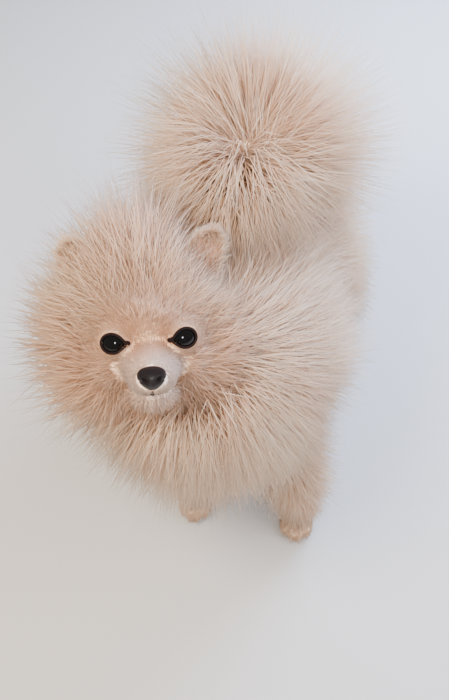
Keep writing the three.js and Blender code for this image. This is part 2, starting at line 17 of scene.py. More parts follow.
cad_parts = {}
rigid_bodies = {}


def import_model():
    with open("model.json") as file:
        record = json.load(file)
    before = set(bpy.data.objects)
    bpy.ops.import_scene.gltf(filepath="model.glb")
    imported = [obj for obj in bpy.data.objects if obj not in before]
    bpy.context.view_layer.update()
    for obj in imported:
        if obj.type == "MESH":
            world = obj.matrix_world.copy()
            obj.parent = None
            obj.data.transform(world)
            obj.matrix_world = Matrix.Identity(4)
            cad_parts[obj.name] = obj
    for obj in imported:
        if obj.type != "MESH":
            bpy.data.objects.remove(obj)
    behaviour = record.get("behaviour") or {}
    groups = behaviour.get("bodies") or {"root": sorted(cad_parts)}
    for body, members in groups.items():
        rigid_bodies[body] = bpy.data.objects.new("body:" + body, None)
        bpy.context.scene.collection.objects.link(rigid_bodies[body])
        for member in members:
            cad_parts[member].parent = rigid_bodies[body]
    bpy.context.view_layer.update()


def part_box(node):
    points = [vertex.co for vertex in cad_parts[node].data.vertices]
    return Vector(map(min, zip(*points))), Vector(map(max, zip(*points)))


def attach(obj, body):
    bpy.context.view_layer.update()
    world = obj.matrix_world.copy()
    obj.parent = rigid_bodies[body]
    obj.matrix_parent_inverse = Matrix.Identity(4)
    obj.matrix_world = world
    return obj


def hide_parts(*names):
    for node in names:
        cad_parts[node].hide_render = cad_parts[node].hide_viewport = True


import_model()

bl_info = {
    "name": "Pomeranian puppy",
    "version": (1, 0, 0),
    "blender": (4, 5, 0),
    "location": "View3D > Sidebar > Puppy",
    "description": "Builds the skin, face, ears, paws and coat of a standing pomeranian puppy",
    "category": "Object",
}

MM = 0.001

# The head's place and turn. In its own frame the muzzle points along -Y, the left ear is at +X and the crown
# at +Z.
EYES_AT = (-35.5, -80.7, 212)
EYES_LOCAL = (0, -33.7, -1)
HEAD_TURN = (
    Matrix.Rotation(math.radians(19), 3, "Z")
    @ Matrix.Rotation(math.radians(-40), 3, "X")
    @ Matrix.Rotation(math.radians(6), 3, "Y")
)
HEAD_MIDDLE = Vector(EYES_AT) - HEAD_TURN @ Vector(EYES_LOCAL)
TURN = np.array(HEAD_TURN)
MIDDLE = np.array(HEAD_MIDDLE)
# The left eye and the nose in that frame, and how far each eye is turned outward in degrees.
EYE = (18.5, -25.5, -1)
NOSE = (0, -52.5, -16)
EYE_TURN = 14

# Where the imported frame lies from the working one.
_low, _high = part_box("eye_left")
_eye = HEAD_TURN @ Vector(EYE) + HEAD_MIDDLE
SHIFT = np.array([(_low.x + _high.x) / 2 / MM - _eye.x, (_low.y + _high.y) / 2 / MM - _eye.y, 0])


def to_world(points):
    """Points of the head's own frame, in the working frame."""
    return np.asarray(points, float) @ TURN.T + MIDDLE


def to_head(points):
    """Points of the working frame, in the head's own."""
    return (np.asarray(points, float) - MIDDLE) @ TURN


def smooth(low, high, value):
    """0 at low, 1 at high and a soft step between. The step falls where low is the higher of the two."""
    t = np.clip((np.asarray(value, float) - low) / (high - low), 0, 1)
    return t * t * (3 - 2 * t)


# Skin: stations of each limb as (x, y, z, half side, half height).
TORSO = [
    (-9, -80, 112, 8, 9), (-8, -70, 116, 26, 30), (-6, -48, 124, 35, 41), (-4, -15, 129, 37, 42),
    (-1, 25, 131, 35, 37), (0, 60, 131, 34, 35), (0, 84, 130, 28, 30), (0, 98, 128, 9, 11),
]
NECK = [
    (6, -18, 122, 33, 38), (-2, -38, 124, 32, 36), (-14, -54, 134, 29, 32), (-28, -52, 148, 27, 28),
    (-42, -46, 166, 25, 26), (-48, -42, 180, 20, 20),
]
TAIL = [
    (0, 84, 150, 9, 9), (0, 102, 174, 8, 8), (0, 104, 192, 7, 7), (-3, 86, 207, 6, 6), (-8, 58, 210, 5, 5),
    (-12, 34, 202, 3, 3),
]
# Paws as (x, y) from left to right, and the toes of each by their place across it and how far back they are.
FOREPAWS = ((44, -78), (-30, -72))
HINDPAWS = ((40, 74), (-40, 80))
TOES = ((-1.5, 4), (-0.5, 0), (0.5, 0), (1.5, 4))
# The left thigh's middle, half axes and lean in degrees.
THIGH = ((38, 70, 98), (19, 31, 37), 18)


def foreleg(out, x, y):
    """The bone line of a foreleg, from the shoulder to the wrist."""
    top = out * 22 - 5
    return [
        (top, -52, 112, 11, 16), (top + (x - top) * 0.45, -50, 84, 11.5, 15),
        (top + (x - top) * 0.75, y + 18, 52, 10.5, 12),
        (x, y + 8, 24, 9.6, 10.6), (x, y + 3, 10, 9.6, 10.6),
    ]


def hindleg(out, x, y):
    """The bone line of a hind leg, from the hip to the instep."""
    return [
        (out * 34, 66, 100, 12, 16), (out * 38, 74, 72, 11.5, 16), (out * 39, y + 18, 50, 9.6, 11.4),
        (x, y + 13, 26, 8.8, 9.8), (x, y + 6, 10, 9.6, 10.6),
    ]


LEGS = [foreleg(out, *paw) for out, paw in zip((1, -1), FOREPAWS)]
LEGS += [hindleg(out, *paw) for out, paw in zip((1, -1), HINDPAWS)]
# Skull, face, brow and cheeks in the head's frame, as middles and half axes.
HEAD_FORMS = [
    ((0, 4, 2), (33, 34, 29)),
    ((0, -6, -6), (34.5, 24.5, 24.5)),
    ((0, -14, 8), (18.5, 16, 13.5)),
    ((19, -9, -17), (17.5, 19.5, 15.5)),
    ((-19, -9, -17), (17.5, 19.5, 15.5)),
]
MUZZLE = [
    (0, -14, -12, 22, 16.5), (0, -28, -15, 17.2, 12.8), (0, -38, -17.5, 13.4, 10.4),
    (0, -46.5, -19.5, 11.4, 8.2), (0, -51.5, -20, 7.8, 5.6),
]
JAW = [(0, -8, -30, 17, 10), (0, -26, -30, 13, 7), (0, -39, -30, 9, 4.8), (0, -46.5, -29, 5, 2.8)]
EYE_RADIUS = 8.2
LID_RADIUS = 9.3
# Behind the opening the skin lies this far from the eye's middle.
SOCKET_RADIUS = 6.2
# Half width and half height of the lids' opening.
OPENING = (6.1, 5.4)
# How high the skin of the soles is above the floor.
SOLE = 0.6


# Materials.
def linear(code):
    """The linear colour of an sRGB hex code such as "E8D0B0"."""
    parts = [int(code[i : i + 2], 16) / 255 for i in (0, 2, 4)]
    return tuple(c / 12.92 if c <= 0.04045 else ((c + 0.055) / 1.055) ** 2.4 for c in parts) + (1,)


def add_node(tree, kind, inputs=None, **settings):
    """A node with its settings and the values or links of its inputs."""
    node = tree.nodes.new(kind)
    for name, value in settings.items():
        setattr(node, name, value)
    for name, value in (inputs or {}).items():
        if isinstance(value, bpy.types.NodeSocket):
            tree.links.new(value, node.inputs[name])
        else:
            node.inputs[name].default_value = value
    return node


def material(name):
    """An empty material with its output node."""
    made = bpy.data.materials.new(name)
    made.use_nodes = True
    made.node_tree.nodes.clear()
    return made, made.node_tree, made.node_tree.nodes.new("ShaderNodeOutputMaterial")


def mixed(tree, factor, first, second):
    """One colour mixed into another by a factor."""
    node = add_node(tree, "ShaderNodeMix", {0: factor, 6: first, 7: second}, data_type="RGBA")
    return node.outputs[2]


def noise_at(tree, size):
    """Soft noise whose lumps are about size millimetres across."""
    place = add_node(tree, "ShaderNodeTexCoord")
    inputs = {"Vector": place.outputs["Object"], "Scale": 1 / (size * MM), "Detail": 2.0}
    return add_node(tree, "ShaderNodeTexNoise", inputs).outputs["Fac"]


# Painted shade round the eye openings: a brown mixed into the skin there, in place of the shade in the
# sockets.
SOCKET_SHADE_COLOUR = "8C6552"


def fur_colour(tree, settings, along):
    """The coat's colour, by how far along the hair it is, by the coat's markings and by painted shade on the
    face.
    """
    warm = add_node(tree, "ShaderNodeAttribute", attribute_name="warm").outputs["Fac"]
    white = add_node(tree, "ShaderNodeAttribute", attribute_name="white").outputs["Fac"]
    base = mixed(tree, along, settings.root_colour, settings.tip_colour)
    steps = {"Value": noise_at(tree, 34), "From Min": 0.35, "From Max": 0.7, "To Max": 0.3}
    patch = add_node(tree, "ShaderNodeMapRange", steps).outputs["Result"]
    base = mixed(tree, patch, base, settings.warm_colour)
    # The warm attribute is partly the coat's own peach and partly painted shade on the face.
    base = mixed(tree, warm, base, settings.warm_colour)
    return mixed(tree, white, base, settings.white_colour)


def bumps(tree, lump, strength, depth):
    """Normals of fine bumps, with the size of a lump and its depth in millimetres."""
    inputs = {"Height": noise_at(tree, lump), "Strength": strength, "Distance": depth * MM}
    return add_node(tree, "ShaderNodeBump", inputs).outputs[0]


def coat_material(settings):
    """Fine undyed animal hair: soft, scattering and hardly glossy."""
    made, tree, output = material("fine animal hair")
    along = add_node(tree, "ShaderNodeAttribute", attribute_name="along").outputs["Fac"]
    colour = fur_colour(tree, settings, along)
    values = {"Base Color": colour, "Roughness": 0.62, "Specular IOR Level": 0.28, "Sheen Weight": 0.25}
    shader = add_node(tree, "ShaderNodeBsdfPrincipled", values)
    glow = add_node(tree, "ShaderNodeBsdfTranslucent", {"Color": colour})
    both = add_node(tree, "ShaderNodeMixShader", {0: 0.56, 1: shader.outputs[0], 2: glow.outputs[0]})
    tree.links.new(both.outputs[0], output.inputs["Surface"])
    return made


def skin_material(settings):
    """Thin pink skin under the down of the coat, darkened round the eyes by painted shade."""
    made, tree, output = material("skin under down")
    # The rim attribute mixes painted shade into the skin round the eye openings.
    rim = add_node(tree, "ShaderNodeAttribute", attribute_name="rim").outputs["Fac"]
    colour = mixed(tree, rim, fur_colour(tree, settings, 0.2), linear(SOCKET_SHADE_COLOUR))
    values = {"Base Color": colour, "Roughness": 0.95, "Specular IOR Level": 0.15}
    values["Normal"] = bumps(tree, 1.6, 0.4, 0.8)
    shader = add_node(tree, "ShaderNodeBsdfPrincipled", values)
    tree.links.new(shader.outputs[0], output.inputs["Surface"])
    return made


def plain_material(name, code, roughness, lump=0.0, depth=0.0, coat=0.0, dark=None, size=3.0, gloss=0.5):
    """A finish of one colour, with mottling towards a darker one and fine bumps of a real size."""
    made, tree, output = material(name)
    colour = linear(code)
    if dark:
        colour = mixed(tree, noise_at(tree, size), linear(code), linear(dark))
    values = {"Base Color": colour, "Roughness": roughness, "Coat Weight": coat, "Coat Roughness": 0.04}
    values["Specular IOR Level"] = gloss
    if lump:
        values["Normal"] = bumps(tree, lump, 0.8, depth)
    shader = add_node(tree, "ShaderNodeBsdfPrincipled", values)
    tree.links.new(shader.outputs[0], output.inputs["Surface"])
    return made


# Shapes.
def catmull(stations, t):
    """Points on a smooth curve through stations, at the shares t of it, with sizes that change evenly."""
    rows = np.array(stations, float)
    rows = np.vstack([2 * rows[0] - rows[1], rows, 2 * rows[-1] - rows[-2]])
    place = np.clip(t, 0, 1) * (len(rows) - 3)
    i = np.minimum(place.astype(int), len(rows) - 4)
    f = (place - i)[:, None]
    a, b, c, d = rows[i], rows[i + 1], rows[i + 2], rows[i + 3]
    made = 2 * b + (c - a) * f + (2 * a - 5 * b + 4 * c - d) * f**2
    made = 0.5 * (made + (3 * b - a - 3 * c + d) * f**3)
    straight = b + (c - b) * f
    made[:, 3:] = straight[:, 3:]
    return made


def tube_into(bm, centres, halves, side=(1, 0, 0), sides=24, closed=False):
    """Rings of faces round a line of centres, capped at its ends or joined into a loop."""
    count = len(centres)
    along = np.gradient(centres, axis=0)
    if closed:
        along = np.roll(centres, -1, 0) - np.roll(centres, 1, 0)
    along /= np.linalg.norm(along, axis=1)[:, None]
    across = np.array(side, float) - along * (along @ np.array(side, float))[:, None]
    across /= np.linalg.norm(across, axis=1)[:, None]
    up = np.cross(along, across)
    rings = []
    for k in range(count):
        ring = []
        for j in range(sides):
            angle = 2 * math.pi * j / sides
            spot = centres[k] + across[k] * math.cos(angle) * halves[k][0]
            ring.append(bm.verts.new(spot + up[k] * math.sin(angle) * halves[k][1]))
        rings.append(ring)
    for k in range(count if closed else count - 1):
        first, second = rings[k], rings[(k + 1) % count]
        for j in range(sides):
            n = (j + 1) % sides
            bm.faces.new((first[j], first[n], second[n], second[j]))
    if not closed:
        bm.faces.new(rings[0])
        bm.faces.new(rings[-1])


def limb_into(bm, stations):
    """A limb through its stations, with rounded ends."""
    rows = catmull(stations, np.linspace(0, 1, 16))
    tube_into(bm, rows[:, :3], rows[:, 3:])
    for row in (rows[0], rows[-1]):
        radius = min(row[3], row[4])
        ball_into(bm, row[:3], (radius, radius, radius))


def ball_into(bm, centre, radii, turn=(0, 0, 0), segments=24, local=False):
    """An ellipsoid, turned by degrees, in the head's own frame when it is local."""
    euler = Euler([math.radians(v) for v in turn]).to_matrix().to_4x4()
    place = Matrix.Translation(Vector(centre)) @ euler @ Matrix.Diagonal((*radii, 1))
    if local:
        place = Matrix.Translation(HEAD_MIDDLE) @ HEAD_TURN.to_4x4() @ place
    rings = segments * 2 // 3
    bmesh.ops.create_uvsphere(bm, u_segments=segments, v_segments=rings, radius=1, matrix=place)


def in_scene(name, data):
    """A new object of the scene."""
    made = bpy.data.objects.new(name, data)
    bpy.context.scene.collection.objects.link(made)
    return made


def piece(name, bm, finish):
    """An object from a mesh in working millimetres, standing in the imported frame."""
    bmesh.ops.recalc_face_normals(bm, faces=bm.faces)
    for vertex in bm.verts:
        vertex.co = (vertex.co + Vector(SHIFT)) * MM
    mesh = bpy.data.meshes.new(name)
    bm.to_mesh(mesh)
    bm.free()
    for polygon in mesh.polygons:
        polygon.use_smooth = True
    mesh.materials.append(finish)
    return in_scene(name, mesh)


def read(items, name, width, kind=np.float64):
    """A value of all the items of a mesh, as rows of that width."""
    flat = np.zeros(len(items) * width, kind)
    items.foreach_get(name, flat)
    return flat.reshape(-1, width)


def points_of(mesh):
    """A mesh's vertices in working millimetres."""
    return read(mesh.vertices, "co", 3) / MM - SHIFT


def set_points(mesh, points):
    """Puts a mesh's vertices back from working millimetres."""
    mesh.vertices.foreach_set("co", ((points + SHIFT) * MM).ravel())
    mesh.update()


def corners_of(mesh):
    """A mesh's triangles as rows of three vertex numbers."""
    mesh.calc_loop_triangles()
    return read(mesh.loop_triangles, "vertices", 3, np.int32)


def facets_of(name):
    """A piece's points, and the vertices, middles and normals of its triangles, in working millimetres."""
    mesh = built(name).data
    points, corners = points_of(mesh), corners_of(mesh)
    a, b, c = (points[corners[:, i]] for i in range(3))
    return points, corners, points[corners].mean(1), unit(np.cross(b - a, c - a))


def eye_at(out):
    """The middle of an eye in the head's own frame: the left one's for 1, the right one's for -1."""
    return out * EYE[0], EYE[1], EYE[2]


def opening_share(points, out):
    """How far points lie from the middle of the eye's opening, 1 at its edge, and from the eye's middle."""
    local = to_head(points) - eye_at(out)
    angle = math.radians(out * EYE_TURN)
    x = local[:, 0] * math.cos(angle) + local[:, 1] * math.sin(angle)
    y = -local[:, 0] * math.sin(angle) + local[:, 1] * math.cos(angle)
    reach = np.hypot(x / OPENING[0], local[:, 2] / OPENING[1])
    corner = np.hypot((x + out * 6.2) / 2.6, (local[:, 2] + 1) / 1.8)
    return np.where(y < 0, np.minimum(reach, corner), 9), np.linalg.norm(local, axis=1)


def markings(points):
    """How warm and how white the coat is at points of the working frame. The warmth is partly the coat's own
    peach and partly painted shade that darkens the face, where the short down lacks the long coat's
    self-shadow.
    """
    local = to_head(points)
    side, front, up = np.abs(local[:, 0]), local[:, 1], local[:, 2]
    head = 1 - smooth(44, 60, np.linalg.norm(local - (0, -6, -6), axis=1))
    muzzle = (1 - smooth(14, 24, np.hypot(side, up + 21))) * smooth(-24, -34, front) * head
    muzzle = muzzle * smooth(-33, -27, up) * smooth(-3, -13, up)
    # Bridge, cheeks, crown and the front of the face are made warmer and darker: partly the coat's own
    # peach, partly painted shade.
    bridge = np.exp(-(((side - 9) / 5) ** 2) - ((up + 3) / 9) ** 2) * (front < -18)
    cheek = np.exp(-(((side - 30) / 9) ** 2) - ((up + 6) / 14) ** 2) * 0.2
    crown = smooth(16, 34, up) * 0.35
    facing = smooth(-16, -26, front) * 0.5
    warm = np.clip((bridge + cheek + crown + facing) * head, 0, 1)
    return warm, np.clip(muzzle * 0.6, 0, 1)


def set_attribute(mesh, name, values):
    """A float for each vertex."""
    mesh.attributes.new(name, "FLOAT", "POINT").data.foreach_set("value", np.asarray(values, np.float32))


def built(name):
    """A piece made by an earlier step, which must be there."""
    if name not in bpy.data.objects:
        raise RuntimeError(f"{name} isn't built yet")
    return bpy.data.objects[name]


def length_setting(label, says, default):
    """A setting that is a length in metres."""
    return FloatProperty(name=label, description=says, default=default, unit="LENGTH", subtype="DISTANCE")


def count_setting(label, says, default):
    """A setting that is a whole number."""
    return IntProperty(name=label, description=says, default=default)


def colour_setting(label, says, code):
    """A setting that is a colour, from its sRGB hex code."""
    return FloatVectorProperty(
        name=label, description=says, default=linear(code), size=4, min=0, max=1, subtype="COLOR"
    )


class PUPPY_PG_settings(PropertyGroup):
    """Sizes and colours that a user would change"""

    skin_voxel: length_setting("Skin detail", "Size of the smallest feature of the skin", 0.0015)
    coat_length: length_setting("Coat length", "Length of the ruff's longest hair", 0.073)
    tuft_width: length_setting("Tuft width", "Width of a tuft of the long coat", 0.00064)
    # Cream fur of a young dog: warm peach near the skin, near white at the tips.
    root_colour: colour_setting("Root colour", "Colour of the hair near the skin", "EFCCA2")
    tip_colour: colour_setting("Tip colour", "Colour of the tips of the hair", "FDEED9")
    # The warm colour also paints shade on the face.
    warm_colour: colour_setting("Warm colour", "Colour of the coat's warm patches", "E9C09A")
    white_colour: colour_setting("White colour", "Colour of the down on the muzzle", "F4E9DF")
    long_tufts: count_setting("Long tufts", "Tufts of the outer coat", 54000)
    under_tufts: count_setting("Under tufts", "Tufts of the soft undercoat", 48000)
    short_tufts: count_setting("Short tufts", "Tufts on the face and legs", 38000)
    ear_tufts: count_setting("Ear tufts", "Tufts on each ear", 2400)
    seed: count_setting("Seed", "Start of the random numbers", 7)


class PuppyOperator:
    """What the operators share: each builds its pieces from the scene's settings"""

    bl_options = {"REGISTER"}

    def execute(self, context):
        self.build(context.scene.puppy)
        return {"FINISHED"}


class PUPPY_OT_skin(PuppyOperator, Operator):
    """One closed skin over the whole dog, with lids round the eyes and a mouth line"""

    bl_idname = "puppy.skin"
    bl_label = "Skin"

    def build(self, settings):
        bm = bmesh.new()
        for stations in (TORSO, NECK, TAIL, *LEGS):
            limb_into(bm, stations)
        for out in (1, -1):
            (x, y, z), radii, turn = THIGH
            ball_into(bm, (out * x, y, z), radii, (turn, 0, 0))
        for x, y in FOREPAWS + HINDPAWS:
            ball_into(bm, (x, y + 1, 7.4), (10.6, 12.6, 6.9))
            for place, back in TOES:
                centre = (x + place * 5.2, y - 9.5 + back, 5.4)
                ball_into(bm, centre, (3.1, 6, 4.9), (0, 0, -place * 7), 12)
        for centre, radii in HEAD_FORMS:
            ball_into(bm, centre, radii, local=True)
        for out in (1, -1):
            ball_into(bm, eye_at(out), (LID_RADIUS,) * 3, local=True)
        for stations in (MUZZLE, JAW):
            rows = catmull(stations, np.linspace(0, 1, 14))
            tube_into(bm, to_world(rows[:, :3]), rows[:, 3:], side=tuple(TURN @ np.array([1, 0, 0])))
            ball_into(bm, rows[-1][:3], (rows[-1][3] * 0.98, 3.4, rows[-1][4] * 0.98), local=True)
        skin = piece("skin", bm, skin_material(settings))
        remesh = skin.modifiers.new("remesh", "REMESH")
        remesh.mode = "VOXEL"
        remesh.voxel_size = settings.skin_voxel
        depsgraph = bpy.context.evaluated_depsgraph_get()
        mesh = bpy.data.meshes.new_from_object(skin.evaluated_get(depsgraph))
        skin.modifiers.clear()
        old = skin.data
        skin.data = mesh
        bpy.data.meshes.remove(old)
        self.relax(mesh, 4)
        self.shape_face(mesh)
        mesh.polygons.foreach_set("use_smooth", np.ones(len(mesh.polygons), bool))
        # The warm attribute carries painted shade on the face as well as the coat's own peach.
        warm, white = markings(points_of(mesh))
        set_attribute(mesh, "warm", warm)
        set_attribute(mesh, "white", white)
        # Painted shade: how strongly the skin round each eye opening is darkened.
        shares = [opening_share(points_of(mesh), out)[0] for out in (1, -1)]
        set_attribute(mesh, "rim", 0.8 * (1 - smooth(1.05, 1.7, np.minimum(*shares))))
        mesh.update()
        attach(skin, "root")
        flesh = ("head", "torso", "tail", "foreleg_left", "foreleg_right", "hindleg_left", "hindleg_right")
        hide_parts(*flesh)

    def relax(self, mesh, times):
        """Evens the steps of the voxels."""
        points = points_of(mesh)
        a, b = read(mesh.edges, "vertices", 2, np.int32).T
        count = np.bincount(a, minlength=len(points)) + np.bincount(b, minlength=len(points))
        for _ in range(times):
            total = np.zeros_like(points)
            np.add.at(total, a, points[b])
            np.add.at(total, b, points[a])
            points += 0.5 * (total / count[:, None] - points)
        points[:, 2] = np.maximum(points[:, 2], SOLE)
        set_points(mesh, points)

    def shape_face(self, mesh):
        """Opens the lids over the eyes and presses the mouth line in."""
        points = points_of(mesh)
        for out in (1, -1):
            share, distance = opening_share(points, out)
            centre = to_world([eye_at(out)])[0]
            inside = (share < 1) & (distance < 13)
            away = (points[inside] - centre) / distance[inside][:, None]
            points[inside] = centre + away * SOCKET_RADIUS
        for centre in mouth_line(60):
            gap = np.linalg.norm(points - centre, axis=1)
            near = gap < 4
            inward = to_world([(0, -34, -23)])[0] - points[near]
            inward /= np.linalg.norm(inward, axis=1)[:, None]
            points[near] += inward * (0.12 * np.exp(-((gap[near] / 1.4) ** 2)))[:, None]
        set_points(mesh, points)


def mouth_line(count):
    """The line where the lips meet, from one corner round the front to the other."""
    half = [(15, -30, -30), (12.2, -39.5, -28.6), (7.2, -48.4, -27.2), (0, -51.8, -26)]
    other = [(-x, y, z) for x, y, z in half[-2::-1]]
    return to_world(catmull(half + other, np.linspace(0, 1, count)))


class PUPPY_OT_eyes(PuppyOperator, Operator):
    """Round dark eyes with a clear cornea, and the dark rims of their lids"""

    bl_idname = "puppy.eyes"
    bl_label = "Eyes"

    def build(self, settings):
        # Wet cornea over a nearly black iris.
        finish = plain_material("wet cornea", "040303", 0.05, dark="020101", size=5, gloss=0.35)
        # Bare dark skin at the edge of the lids.
        edge = plain_material("bare lid edge", "150E0D", 0.6, lump=0.9, depth=0.06, dark="241715", gloss=0.2)
        for side, out in (("left", 1), ("right", -1)):
            bm = bmesh.new()
            ball_into(bm, eye_at(out), (EYE_RADIUS,) * 3, segments=48, local=True)
            eye = piece(f"eyeball_{side}", bm, finish)
            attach(eye, "root")
            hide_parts(f"eye_{side}")
            bm = bmesh.new()
            line = self.lid_line(out, 56)
            facing = tuple(TURN @ np.array([0, -1, 0]))
            tube_into(bm, line, [(0.8, 0.8)] * len(line), side=facing, sides=10, closed=True)
            corner = (out * (EYE[0] - 6.3), EYE[1] - 4.6, EYE[2] - 0.9)
            ball_into(bm, corner, (2.4, 1.9, 1.7), segments=16, local=True)
            rim = piece(f"lid_rim_{side}", bm, edge)
            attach(rim, "root")

    def lid_line(self, out, steps):
        """The edge of the lids round the eye, drawn out a little towards its inner corner."""
        line = []
        turn = math.radians(out * EYE_TURN)
        for k in range(steps):
            angle = 2 * math.pi * k / steps
            x, z = OPENING[0] * math.cos(angle), OPENING[1] * math.sin(angle)
            inner = max(0, -math.cos(angle) * out) ** 10
            x += -out * 1.1 * inner
            z += -0.9 * inner
            y = -math.sqrt(max((EYE_RADIUS + 0.45) ** 2 - x * x - z * z, 1))
            across = out * EYE[0] + x * math.cos(turn) - y * math.sin(turn)
            line.append((across, EYE[1] + x * math.sin(turn) + y * math.cos(turn), EYE[2] + z))
        return to_world(line)


# How far a nostril is from the middle of the nose.
NOSTRIL = 3.7


class PUPPY_OT_nose(PuppyOperator, Operator):
    """A pebbled nose with two nostrils, and the dark edges of the lips, partly painted shadow along the
    mouth line
    """

    bl_idname = "puppy.nose"
    bl_label = "Nose and lips"

    def build(self, settings):
        # Moist, finely pebbled bare skin.
        finish = plain_material(
            "moist nose leather", "0B0708", 0.44, lump=0.8, depth=0.16, coat=0.05, dark="1B1213", gloss=0.4
        )
        bm = bmesh.new()
        bmesh.ops.create_uvsphere(bm, u_segments=64, v_segments=44, radius=1)
        for vertex in bm.verts:
            x, y, z = vertex.co
            x *= 1 + 0.27 * z
            spot = np.array([x * 7.5, y * 5.5, z * 6.5 - 0.5])
            for out in (1, -1):
                rise = (spot[2] + 0.2 - 0.35 * (abs(spot[0]) - NOSTRIL)) / 0.8
                gap = math.hypot(spot[0] - out * NOSTRIL, rise)
                if y < 0:
                    spot[1] += 2.6 * math.exp(-((gap / 1.5) ** 2))
                slit = math.hypot((spot[0] - out * 6.0) / 1.4, (spot[2] + 1.2) / 0.55)
                if y < 0.3:
                    spot[0] -= out * 0.8 * math.exp(-(slit**2))
            if y < 0 and spot[2] < 1:
                spot[1] += 0.6 * math.exp(-((spot[0] / 0.5) ** 2)) * min(1, (1 - spot[2]) / 3)
            vertex.co = to_world([spot + np.array(NOSE)])[0]
        nose = piece("nose_leather", bm, finish)
        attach(nose, "root")
        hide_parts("nose")
        # Dark edge of the lips and the cleft below the nose: partly the lips' own dark skin, partly painted
        # shadow along the mouth line.
        edge = plain_material("lip edge and painted mouth shadow", "2B1D1B", 0.5, lump=0.9, depth=0.06, dark="3A2723")
        tree = skin_tree()
        bm = bmesh.new()
        line = mouth_line(80)[29:51]
        cleft = to_world([(0, -52.6 + 0.2 * k, -22.4 - 0.65 * k) for k in range(7)])
        for path, radius in ((line, 0.7), (cleft, 1.5)):
            rested = []
            for spot in path:
                place, normal, _, _ = tree.find_nearest(Vector(spot))
                rested.append(np.array(place) + np.array(normal) * 0.25)
            last = len(path) - 1
            sizes = [(radius * min(1, 0.25 + min(k, last - k) / 5),) * 2 for k in range(last + 1)]
            tube_into(bm, np.array(rested), sizes, side=tuple(TURN @ np.array([0, -0.3, 1])), sides=8)
        lips = piece("lip_edges_and_painted_shadow", bm, edge)
        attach(lips, "root")


def skin_tree():
    """A search tree over the skin, in working millimetres."""
    mesh = built("skin").data
    return BVHTree.FromPolygons(points_of(mesh).tolist(), corners_of(mesh).tolist())


# The foot of the left ear, in the head's own frame.
EAR_AT = (30, 8, 31)


def ear_point(out, across, height, inner):
    """A place on the ear: across from -1 to 1, height from 0 at the base to 1, on its inside or its back."""
    reach = math.sqrt(max(1 - (max(height - 0.5, 0) / 0.5) ** 2.2, 0))
    reach *= 0.86 + 0.14 * smooth(0, 0.3, height)
    width = 10.8 * reach * (1 - 0.1 * height)
    x = across * width
    cup = 5.4 * (1 - 0.45 * height)
    y = cup * (1 - across * across) * (0.72 if inner else 1) - 2.2
    if not inner:
        y += 1.5 * math.sqrt(max(1 - across * across, 0)) * reach
    z = height * 28 - 5
    lean = Matrix.Rotation(math.radians(out * 32), 3, "Y")
    turn = Matrix.Rotation(math.radians(out * 18), 3, "Z")
    return lean @ turn @ Vector((x, y, z)) + Vector((out * EAR_AT[0], EAR_AT[1], EAR_AT[2]))


class PUPPY_OT_ears(PuppyOperator, Operator):
    """Small rounded ears, open to the front, with pink skin inside"""

    bl_idname = "puppy.ears"
    bl_label = "Ears"

    def build(self, settings):
        # Thin pink skin with the light coming through it.
        finish = plain_material("thin ear skin", "DC9C80", 0.7, lump=1.2, depth=0.1, dark="E6B79B", size=8)
        for side, out in (("left", 1), ("right", -1)):
            bm = bmesh.new()
            columns, rows = 18, 20
            sheets = []
            for inner in (False, True):
                grid = []
                for r in range(rows + 1):
                    height = r / rows * 0.995
                    line = []
                    for c in range(columns + 1):
                        across = math.sin(math.pi * (c / columns - 0.5))
                        line.append(bm.verts.new(to_world([ear_point(out, across, height, inner)])[0]))
                    grid.append(line)
                sheets.append(grid)
            back, front = sheets
            for r in range(rows):
                for c in range(columns):
                    bm.faces.new((back[r][c], back[r][c + 1], back[r + 1][c + 1], back[r + 1][c]))
                    bm.faces.new((front[r][c], front[r + 1][c], front[r + 1][c + 1], front[r][c + 1]))
                for c in (0, columns):
                    bm.faces.new((back[r][c], back[r + 1][c], front[r + 1][c], front[r][c]))
            for c in range(columns):
                for r in (0, rows):
                    bm.faces.new((back[r][c], back[r][c + 1], front[r][c + 1], front[r][c]))
            bmesh.ops.remove_doubles(bm, verts=bm.verts, dist=0.02)
            ear = piece(f"pinna_{side}", bm, finish)
            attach(ear, "root")
            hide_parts(f"ear_{side}")


class PUPPY_OT_paws(PuppyOperator, Operator):
    """Claws on every toe and pads under the paws"""

    bl_idname = "puppy.paws"
    bl_label = "Claws and pads"

    def build(self, settings):
        # Pale translucent claw.
        horn = plain_material("claw", "C9AE97", 0.35, lump=1.5, depth=0.04, dark="A88A76", size=4)
        # Tough grey-pink pad.
        tough = plain_material("paw pad", "5A4340", 0.65, lump=0.7, depth=0.15, dark="6E504B")
        claws, pads = bmesh.new(), bmesh.new()
        for x, y in FOREPAWS + HINDPAWS:
            ball_into(pads, (x, y + 3, 2.0), (6.5, 5, 1.9))
            for place, back in TOES:
                toe = np.array([x + place * 5.4, y - 9.5 + back, 0])
                ball_into(pads, toe + (0, -0.5, 1.9), (2.3, 3.2, 1.8), segments=12)
                line = np.array([toe + (place * 0.5, -4.2 - k * 1.05, 5.2 - 0.16 * k * k) for k in range(5)])
                tube_into(claws, line, [(1.2 - 0.24 * k, 1.3 - 0.26 * k) for k in range(5)], sides=8)
        for name, bm, finish in (("claws", claws, horn), ("paw_pads", pads, tough)):
            made = piece(name, bm, finish)
            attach(made, "root")


